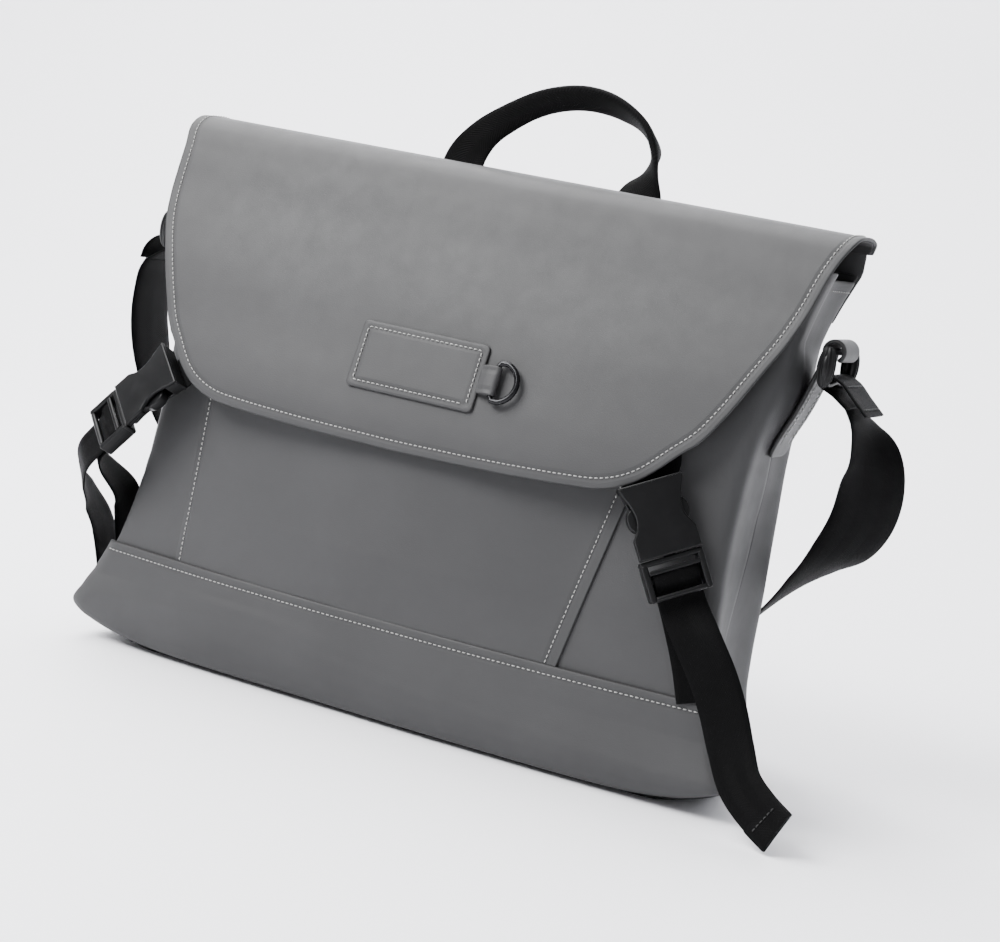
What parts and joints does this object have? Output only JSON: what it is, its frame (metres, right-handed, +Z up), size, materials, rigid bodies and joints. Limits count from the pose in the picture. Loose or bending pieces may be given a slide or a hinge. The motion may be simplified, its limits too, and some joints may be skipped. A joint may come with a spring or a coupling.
{
  "type": "messenger bag",
  "caption": "Soft grey flap-over shoulder bag with a carry handle, slip pocket, two side-release closures and a wide adjustable strap.",
  "frame": {"origin": "centre of the underside of the flat base, on the surface it stands on", "axes": "+Z up, the bag's front (flap and slip pocket) towards -Y, +X to the right of someone who looks at the front"},
  "size_m": [0.478, 0.1934, 0.3653],
  "materials": {
    "leather_grey": "smooth coated, satin",
    "leather_dark": "smooth coated, satin",
    "lining_fabric": "plain woven lining",
    "board": "matte",
    "plastic_black": "satin moulded",
    "metal_black": "black lacquer",
    "webbing_black": "woven webbing"
  },
  "bodies": {
    "bag": {"front_panel": "leather_grey", "back_panel": "leather_grey", "left_gusset": "leather_dark", "right_gusset": "leather_dark", "bottom_band": "leather_grey", "base_panel": "leather_dark", "base_board": "board", "pocket_panel": "leather_grey", "lining": "lining_fabric", "laptop_divider": "lining_fabric", "flap_back_strip": "leather_grey", "handle_end_left": "webbing_black", "handle_end_right": "webbing_black", "side_tab_left": "leather_dark", "side_tab_right": "leather_dark", "closure_strap_left": "webbing_black", "closure_strap_right": "webbing_black", "shoulder_strap_left": "webbing_black", "shoulder_strap_right": "webbing_black"},
    "flap": {"flap_outer": "leather_grey", "flap_lining": "lining_fabric", "flap_patch": "leather_grey", "d_ring_tab": "leather_dark", "upper_webbing_left": "webbing_black", "upper_webbing_right": "webbing_black", "buckle_socket_left": "plastic_black", "buckle_socket_right": "plastic_black"},
    "handle": {"carry_handle": "webbing_black"},
    "d_ring": {"d_ring": "metal_black"},
    "slider": {"strap_slider": "plastic_black"},
    "plug_left": {"buckle_plug_left": "plastic_black"},
    "arm_left_inner": {"release_arm_left_inner": "plastic_black"},
    "arm_left_outer": {"release_arm_left_outer": "plastic_black"},
    "ring_left": {"side_ring_left": "plastic_black", "strap_end_left": "webbing_black"},
    "plug_right": {"buckle_plug_right": "plastic_black"},
    "arm_right_inner": {"release_arm_right_inner": "plastic_black"},
    "arm_right_outer": {"release_arm_right_outer": "plastic_black"},
    "ring_right": {"side_ring_right": "plastic_black", "strap_end_right": "webbing_black"}
  },
  "joints": [
    {"name": "flap_hinge", "type": "hinge", "parent": "bag", "child": "flap", "pos_m": [0, 0.043, 0.303], "axis": [-1, 0, 0], "range_deg": [0, 76]},
    {"name": "handle_hinge", "type": "hinge", "parent": "bag", "child": "handle", "pos_m": [0, 0.0485, 0.289], "axis": [-1, 0, 0], "range_deg": [0, 150]},
    {"name": "d_ring_hinge", "type": "hinge", "parent": "flap", "child": "d_ring", "pos_m": [0.0385, -0.05532, 0.20043], "axis": [0, -0.3085, -0.9512], "range_deg": [0, 150]},
    {"name": "plug_left_slide", "type": "slide", "parent": "bag", "child": "plug_left", "axis": [-0.6244, -0.0996, -0.7747], "range_m": [0, 0.03], "deforming": ["closure_strap_left"]},
    {"name": "arm_left_inner_bend", "type": "hinge", "parent": "plug_left", "child": "arm_left_inner", "pos_m": [-0.17793, -0.05942, 0.13266], "axis": [-0.3716, -0.8346, 0.4067], "range_deg": [0, 6], "stiffness_Nm_per_rad": 0.3},
    {"name": "arm_left_outer_bend", "type": "hinge", "parent": "plug_left", "child": "arm_left_outer", "pos_m": [-0.19167, -0.04858, 0.14234], "axis": [0.3716, 0.8346, -0.4067], "range_deg": [0, 6], "stiffness_Nm_per_rad": 0.3},
    {"name": "ring_left_swing", "type": "hinge", "parent": "bag", "child": "ring_left", "pos_m": [-0.203, 0.01, 0.249], "axis": [0, 1, 0], "range_deg": [-2, 45], "deforming": ["shoulder_strap_left"]},
    {"name": "plug_right_slide", "type": "slide", "parent": "bag", "child": "plug_right", "axis": [0.4756, 0.0214, -0.8794], "range_m": [0, 0.03], "deforming": ["closure_strap_right"]},
    {"name": "arm_right_inner_bend", "type": "hinge", "parent": "plug_right", "child": "arm_right_inner", "pos_m": [0.14616, -0.06142, 0.1289], "axis": [-0.4851, 0.8403, -0.2419], "range_deg": [0, 6], "stiffness_Nm_per_rad": 0.3},
    {"name": "arm_right_outer_bend", "type": "hinge", "parent": "plug_right", "child": "arm_right_outer", "pos_m": [0.16084, -0.05058, 0.1371], "axis": [0.4851, -0.8403, 0.2419], "range_deg": [0, 6], "stiffness_Nm_per_rad": 0.3},
    {"name": "ring_right_swing", "type": "hinge", "parent": "bag", "child": "ring_right", "pos_m": [0.203, 0.01, 0.249], "axis": [0, -1, 0], "range_deg": [-2, 45], "deforming": ["shoulder_strap_right"]},
    {"name": "slider_slide", "type": "slide", "parent": "bag", "child": "slider", "axis": [0.9965, 0.083, 0], "range_m": [-0.025, 0.025]}
  ],
  "couplings": [
    {"joint": "arm_left_inner_bend", "follows": "arm_left_outer_bend", "ratio": 1},
    {"joint": "arm_right_inner_bend", "follows": "arm_right_outer_bend", "ratio": 1}
  ]
}
